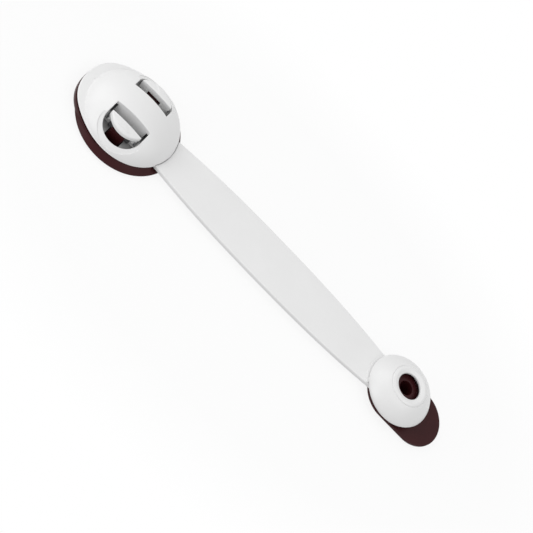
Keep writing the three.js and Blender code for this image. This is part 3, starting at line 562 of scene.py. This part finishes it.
def round_window(ridge, right, end, left):
    """One value for each column of the ring, from its four runs. A plain number fills its run."""
    runs = zip((ridge, right, end, left), (ridge_x, climb, end_angle, descent))
    return np.concatenate([np.broadcast_to(np.asarray(run, float), at.shape) for run, at in runs])


side_height, end_height = window_shoulder - window_inner, window_outer - window_shoulder
end_x, end_y = np.cos(end_angle), np.sin(end_angle)
window_x = round_window(ridge_x, window_half, window_half * end_x, -window_half)
window_y = round_window(
    window_inner, window_inner + side_height * climb,
    window_shoulder + end_height * end_y, window_inner + side_height * descent,
)
end_away = np.stack([end_x / window_half, end_y / end_height])
end_away /= np.linalg.norm(end_away, axis=0)
away_x, away_y = round_window(0, 1, end_away[0], -1), round_window(-1, 0, end_away[1], 0)
on_ridge = np.arange(window_x.size) < ridge_x.size

# The ridge's columns end on the head's long axis, the others on the rim
side_turn = 38
rim_angle = np.radians(np.concatenate([
    side_turn * climb, side_turn + (180 - 2 * side_turn) * end_angle / np.pi,
    180 - side_turn * descent,
]))
ridge_reach = np.where(ridge_x < 0, rim_radius(np.pi), rim_radius(0.0))
on_axis = np.zeros(ridge_x.size)
rim_x = np.concatenate([
    ridge_reach * ridge_x / window_half, rim_radius(rim_angle) * np.cos(rim_angle),
])
rim_y = np.concatenate([on_axis, rim_radius(rim_angle) * np.sin(rim_angle)])

# The finger rest lies along the window's end and fades out towards both of its sides
rest_width, rest_slope, rest_step, rest_crease = 2.0, 0.5, 0.5, 0.12
rest_depth = rest_slope + rest_step
rest_half, rest_power, rest_narrow, rest_fade = 0.47, 0.7, 0.4, 0.6
rest_place = (end_angle / np.pi - 0.5) / rest_half
rest_share = round_window(0, 0, np.clip(1 - rest_place ** 2, 0, 1) ** rest_power, 0)


def rest_cut(distance):
    """Depth of the finger rest by distance from the window's edge: a slope that is deepest at the
    edge, and a short step down from the dome at the rest's width."""
    width = rest_width * (rest_narrow + (1 - rest_narrow) * rest_share)
    inwards = np.clip(1 - distance / width, 0, None)
    step = rest_step * np.clip(inwards / rest_crease, 0, 1)
    return rest_share ** rest_fade * (rest_slope * inwards + step)


# Outer skin, from the window's rounded edge to the rim, with rows closer near the rim
window_edge, rim_low, slot_low, slot_half, row_crowding = 0.3, 4.3, 5.0, 8.65, 1.7
spread = 1 - (1 - np.linspace(0, 1, 61)[:, None]) ** row_crowding
start_x, start_y = window_x + window_edge * away_x, window_y + window_edge * away_y
outer_x = start_x + spread * (rim_x - start_x)
outer_y = start_y + spread * (rim_y - start_y)
in_slot = (np.abs(rim_y) < slot_half) & (rim_x > 0) & ~on_ridge
rim_bottom = np.where(in_slot, slot_low, rim_low)
rest_distance = spread * np.hypot(rim_x - start_x, rim_y - start_y)
outer_z = cover_height(outer_x, outer_y) - rest_cut(rest_distance)
outer_z = np.where(on_ridge, outer_z, np.maximum(outer_z, rim_bottom))
cover_outer = np.stack([outer_x, outer_y, outer_z], axis=-1)
roll = np.linspace(0, np.pi / 2, 7)[:, None]
edge_z = outer_z[0] - window_edge * (1 - np.cos(roll))
cover_edge = np.stack([
    window_x + window_edge * (1 - np.sin(roll)) * away_x,
    window_y + window_edge * (1 - np.sin(roll)) * away_y,
    edge_z,
], axis=-1)

# Walls of the window. The ridge's own wall hangs down, and further down in its middle
cover_wall, least_wall, ridge_wall, ridge_low = 1.6, 0.5, 1.4, 7.15
apron_half, apron_low = 4.8, 6.3
on_wall = on_ridge & (np.abs(window_x) <= ridge_half)
inside_y = np.where(on_wall, window_inner - ridge_wall, window_y)
inside_top = dome_height(window_x, inside_y, cover_wall) - rest_depth * rest_share
inside_top = np.where(on_wall, inside_top, np.minimum(inside_top, edge_z[-1] - least_wall))
ridge_bottom = np.where(np.abs(window_x) < apron_half, apron_low, ridge_low)
wall_low = np.where(on_wall, ridge_bottom, inside_top)
window_walls = np.stack([
    np.stack([window_x, window_y, edge_z[-1]], axis=-1),
    np.stack([window_x, window_y, wall_low], axis=-1),
    np.stack([window_x, inside_y, wall_low], axis=-1),
    np.stack([window_x, inside_y, inside_top], axis=-1),
])

# Inner skin, a wall's thickness inside the dome, and the rim that joins it to the outer one
inner_radius = dome_radius - cover_wall
deep_x = np.concatenate([inner_radius * ridge_x / window_half, inner_radius * np.cos(rim_angle)])
deep_y = np.concatenate([on_axis, inner_radius * np.sin(rim_angle)])
inner_spread = spread[::3]
inner_x = window_x + inner_spread * (deep_x - window_x)
inner_y = inside_y + inner_spread * (deep_y - inside_y)
inner_z = dome_height(inner_x, inner_y, cover_wall) - rest_depth * rest_share * (1 - inner_spread)
inner_z = np.maximum(inner_z, np.where(on_ridge, rim_low, rim_bottom))
inner_z[0] = inside_top
cover_inner = np.stack([inner_x, inner_y, inner_z], axis=-1)
rim_chamfer, rim_draw, rim = 0.12, 0.994, ~on_ridge
rim_edge = np.minimum(cover_outer[-1, rim, 2], rim_bottom[rim] + rim_chamfer)
cover_rim = np.stack([
    cover_outer[-1, rim],
    np.stack([rim_x[rim], rim_y[rim], rim_edge], axis=-1),
    np.stack([rim_x[rim] * rim_draw, rim_y[rim] * rim_draw, rim_bottom[rim]], axis=-1),
    np.stack([deep_x[rim], deep_y[rim], rim_bottom[rim]], axis=-1),
    cover_inner[-1, rim],
])


def boss(x, y, bore, radius, low, high, edge=0.1):
    """A hollow round boss for a screw: a rectangle with softened corners turned about (x, y)."""
    section = softened(rectangle((bore, radius), (low, high)), edge, 3, closed=True)
    return turned(section, 32) + (x, y, 0)


head_boss_x, head_boss_y = 12.2, 4.6
head_bosses = [
    boss(x, y, bore=1.2, radius=2.2, low=5.0, high=11.0)
    for x in (-head_boss_x, head_boss_x) for y in (-head_boss_y, head_boss_y)
]
for head_boss in head_bosses:
    under_dome = dome_height(head_boss[..., 0], head_boss[..., 1], cover_wall / 2)
    head_boss[..., 2] = np.minimum(head_boss[..., 2], under_dome)
cover_rings = [
    np.concatenate([ring, ring[:, :1]], axis=1)
    for ring in (cover_outer, cover_edge, window_walls, cover_inner)
]
cover_patches = both_sides([*cover_rings, cover_rim])
head_cover = skin("head_cover_dome", [*cover_patches, *head_bosses], white_abs, sharp=18.0)
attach(head_cover, "head")
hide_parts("head_cover")


# Anchor pad
# The same die-cut foam tape as the latch pad, cut to the anchor base's oblong outline, a little
# inside its edge.
def oblong(radius, reach=12.45, steps=48):
    """An outline of two half circles, about the pivot and at a reach along X, joined by straight
    sides."""
    angle = np.linspace(np.pi / 2, 3 * np.pi / 2, steps)
    x = anchor_x + radius * np.concatenate([np.cos(angle), -np.cos(angle)])
    x = x + np.repeat([0, reach], steps)
    y = radius * np.concatenate([np.sin(angle), -np.sin(angle)])
    outline = np.stack([x, y], axis=1)
    return np.vstack([outline, outline[:1]])


anchor_pad_radius, pad_chamfer = 10.2, 0.1
pad_steps = [
    (pad_chamfer, 0), (0, pad_chamfer), (0, pad_height - pad_chamfer), (pad_chamfer, pad_height),
]
anchor_pad = skin("anchor_pad_foam", [plate(oblong(anchor_pad_radius), pad_steps)], foam_tape)
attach(anchor_pad, "anchor")
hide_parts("anchor_pad")


# Anchor base
# An oblong plate of the same dark brown ABS with a softened edge, and a hollow post that the
# strap's hub turns on.
anchor_base_radius, under_inset, top_inset = 12.0, 0.5, 0.9
edge_steps = softened(
    [(under_inset, base_low), (0, base_low), (0, base_top), (top_inset, base_top)],
    [0, 0.35, 0.55, 0], 7,
)
pivot_bore, pivot_radius, pivot_foot, pivot_top, pivot_edge = 4.0, 5.4, 2.1, 8.0, 0.2
pivot_corners = rectangle((pivot_bore, pivot_radius), (pivot_foot, pivot_top))
pivot_post = turned(softened(pivot_corners, pivot_edge, closed=True), 96, anchor_x)
anchor_base = skin(
    "anchor_base_moulding", [plate(oblong(anchor_base_radius), edge_steps), pivot_post], brown_abs,
)
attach(anchor_base, "anchor")
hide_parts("anchor_base")


# Pivot rivet
# A brown flanged cup, pressed into the post, that keeps the strap's hub down. Its flange and its
# hollow show through the hole in the cap.
shank_radius, shank_low, hollow_radius, hollow_floor = 3.7, 2.6, 2.9, 3.4
flange_radius, flange_low, flange_edge = 6.8, 8.3, 9.2
brow_radius, brow_height, rivet_top = 5.2, 9.65, 9.9
rivet_profile = softened(
    [(0, shank_low), (shank_radius, shank_low), (shank_radius, flange_low),
     (flange_radius, flange_low), (flange_radius, flange_edge), (brow_radius, brow_height),
     (hollow_radius, rivet_top), (hollow_radius, hollow_floor), (0, hollow_floor)],
    [0, 0.3, 0.2, 0.3, 0.3, 0.8, 0.35, 0.4, 0],
)
pivot_rivet = skin("pivot_rivet_turning", [turned(rivet_profile, 120, anchor_x)], brown_abs)
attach(pivot_rivet, "anchor")
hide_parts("pivot_rivet")


# Anchor cap
# A polished white ABS ring, round over its crest and dished to a hole, with a fine groove round the
# dish. It is screwed down on the strap's hub and hides the pivot.
crest_radius, cap_width, cap_waist, cap_rise, cap_fullness = 7.0, 7.4, 6.0, 6.6, 1.5
cap_wall, cap_low, cap_draft = 1.5, 5.0, 0.25
dish_radius, dish_height, hole_radius, hole_height = 6.2, 12.42, 5.2, 12.0
groove_radius, groove_width, groove_depth = 8.2, 0.15, 0.3
cap_top, cap_ceiling = cap_waist + cap_rise, cap_waist + cap_rise - cap_wall
cap_radius, cap_inside = crest_radius + cap_width, crest_radius + cap_width - cap_wall
bend = np.linspace(0, np.pi / 2, 90)
crest_share, waist_share = np.sin(bend) ** cap_fullness, np.cos(bend) ** cap_fullness
crown_r = crest_radius + cap_width * waist_share
groove = groove_depth * np.exp(-((crown_r - groove_radius) / groove_width) ** 2)
cap_outer = np.stack([crown_r, cap_waist + cap_rise * crest_share - groove], axis=1)
cap_hole = softened(
    [(crest_radius, cap_top), (dish_radius, dish_height), (hole_radius, hole_height),
     (hole_radius, cap_ceiling), (crest_radius, cap_ceiling)],
    [0, 0.5, 0.4, 0.15, 0],
)
cap_inner = np.stack([
    crest_radius + (cap_width - cap_wall) * crest_share,
    cap_waist + (cap_rise - cap_wall) * waist_share,
], axis=1)
cap_rim = softened(
    [(cap_inside, cap_waist), (cap_inside - cap_draft, cap_low), (cap_radius - cap_draft, cap_low),
     (cap_radius, cap_waist)],
    [0, 0.15, 0.3, 0],
)
cap_section = np.concatenate([cap_outer, cap_hole, cap_inner, cap_rim])
cap_boss_y = 9.3
cap_bosses = [
    boss(anchor_x, y, bore=1.2, radius=2.0, low=5.0, high=9.0) for y in (-cap_boss_y, cap_boss_y)
]
anchor_cap = skin(
    "anchor_cap_ring", [turned(cap_section, 200, anchor_x), *cap_bosses], white_abs,
)
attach(anchor_cap, "strap_tail")
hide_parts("anchor_cap")


# Studio
# A clear floor with a thin white haze near the lock that keeps its shadow, clear from below and for
# all light, so that turned-down parts and the undersides stay in view; wide soft lamps; and an even
# white surround, which the camera and all gloss see at full white.
floor_finish = bpy.data.materials.new("matt_white_studio_floor")
floor_finish.use_nodes = True
floor_tree = floor_finish.node_tree
floor_tree.nodes.clear()
floor_ray = add_node(floor_tree, "ShaderNodeLightPath")
floor_side = add_node(floor_tree, "ShaderNodeNewGeometry")
floor_clear = add_node(floor_tree, "ShaderNodeBsdfTransparent")
floor_paint = add_node(floor_tree, "ShaderNodeBsdfDiffuse", None, Color=linear("#f2f2f2"))
floor_front = add_node(
    floor_tree, "ShaderNodeMath", {"operation": "SUBTRACT", "use_clamp": True},
    _0=floor_ray.outputs["Is Camera Ray"], _1=floor_side.outputs["Backfacing"],
)

# The haze fades out towards an ellipse about the lock's middle, given here with its two half axes
# in metres
haze_middle, haze_along, haze_across, haze_fade, haze_share = 0.072, 0.2, 0.1, 0.35, 0.14
floor_place = add_node(floor_tree, "ShaderNodeTexCoord")
floor_span = add_node(
    floor_tree, "ShaderNodeMapping", None, Vector=floor_place.outputs["Object"],
    Location=(-haze_middle / haze_along, 0, 0), Scale=(1 / haze_along, 1 / haze_across, 0),
)
floor_near = add_node(
    floor_tree, "ShaderNodeTexGradient", {"gradient_type": "SPHERICAL"},
    Vector=floor_span.outputs[0],
)
floor_haze = add_node(
    floor_tree, "ShaderNodeMapRange", None, Value=floor_near.outputs["Fac"],
    From_Min=0.0, From_Max=haze_fade, To_Min=0.0, To_Max=haze_share,
)
floor_share = add_node(
    floor_tree, "ShaderNodeMath", {"operation": "MULTIPLY"},
    _0=floor_front.outputs[0], _1=floor_haze.outputs[0],
)
floor_mix = add_node(
    floor_tree, "ShaderNodeMixShader", None,
    _0=floor_share.outputs[0], _1=floor_clear.outputs[0], _2=floor_paint.outputs[0],
)
add_node(floor_tree, "ShaderNodeOutputMaterial", None, Surface=floor_mix.outputs[0])
floor_reach, floor_height = 1500, -0.05
floor_line = np.linspace(-floor_reach, floor_reach, 3)
floor_x, floor_y = np.meshgrid(floor_line, floor_line)
floor_grid = np.stack([floor_x, floor_y, np.full_like(floor_x, floor_height)], axis=-1)
floor = skin("studio_floor", [floor_grid], floor_finish)
if floor.data.polygons[0].normal.z < 0:
    floor.data.flip_normals()

world = bpy.data.worlds.new("white_surround")
bpy.context.scene.world = world
world.use_nodes = True
surround = world.node_tree
surround.nodes.clear()
surround_ray = add_node(surround, "ShaderNodeLightPath")
surround_gloss = add_node(
    surround, "ShaderNodeMath", {"operation": "MAXIMUM"},
    _0=surround_ray.outputs["Is Glossy Ray"], _1=surround_ray.outputs["Is Transmission Ray"],
)
surround_shown = add_node(
    surround, "ShaderNodeMath", {"operation": "MAXIMUM"},
    _0=surround_ray.outputs["Is Camera Ray"], _1=surround_gloss.outputs[0],
)
lit = add_node(surround, "ShaderNodeBackground", None, Color=(1, 1, 1, 1), Strength=0.55)
seen = add_node(surround, "ShaderNodeBackground", None, Color=(1, 1, 1, 1), Strength=1.0)
surround_mix = add_node(
    surround, "ShaderNodeMixShader", None,
    _0=surround_shown.outputs[0], _1=lit.outputs[0], _2=seen.outputs[0],
)
add_node(surround, "ShaderNodeOutputWorld", None, Surface=surround_mix.outputs[0])


def soft_lamp(name, place, size, watts, aim=(0.06, 0, 0)):
    """A square area lamp at a place in metres. Its own z axis is the direction from aim to place,
    its x axis is level, and its y axis is square to both."""
    lamp = bpy.data.lights.new(name, "AREA")
    lamp.size = size
    lamp.energy = watts
    away = np.array(place) - np.array(aim)
    away = away / np.linalg.norm(away)
    level = np.cross((0.0, 0.0, 1.0), away)
    level = level / np.linalg.norm(level)
    axes = np.eye(4)
    axes[:3] = np.stack([level, np.cross(away, level), away, place], axis=1)
    holder = bpy.data.objects.new(name, lamp)
    holder.matrix_world = Matrix(axes.tolist())
    bpy.context.scene.collection.objects.link(holder)


soft_lamp("left_softbox", place=(-0.55, 0.12, 0.42), size=0.6, watts=1.6)
soft_lamp("front_softbox", place=(-0.5, -0.45, 0.25), size=0.45, watts=1.4)
soft_lamp("right_softbox", place=(0.42, -0.08, 0.6), size=0.5, watts=1.15)

# The photograph's camera, worked out from points on the two bases, the windows and the strap's
# edges. It is rolled by an eighth of a turn, so its own axes lie between right and above.
right = np.array((0.9864, -0.0911, 0.1368))
above = np.array((-0.0156, 0.7767, 0.6296))
backwards = np.array((-0.1636, -0.6232, 0.7648))
camera_place = np.array((-0.00868, -0.31633, 0.38850))
camera_axes = np.eye(4)
camera_axes[:3] = np.stack([
    (right + above) / np.sqrt(2), (above - right) / np.sqrt(2), backwards, camera_place,
], axis=1)
camera_lens = bpy.data.cameras.new("photo_camera")
camera_lens.lens = 91.05
camera_lens.sensor_width = 36.0
camera_lens.clip_start = 0.01
camera = bpy.data.objects.new("photo_camera", camera_lens)
camera.matrix_world = Matrix(camera_axes.tolist())
bpy.context.scene.collection.objects.link(camera)
bpy.context.scene.camera = camera
bpy.context.scene.view_settings.view_transform = "Standard"
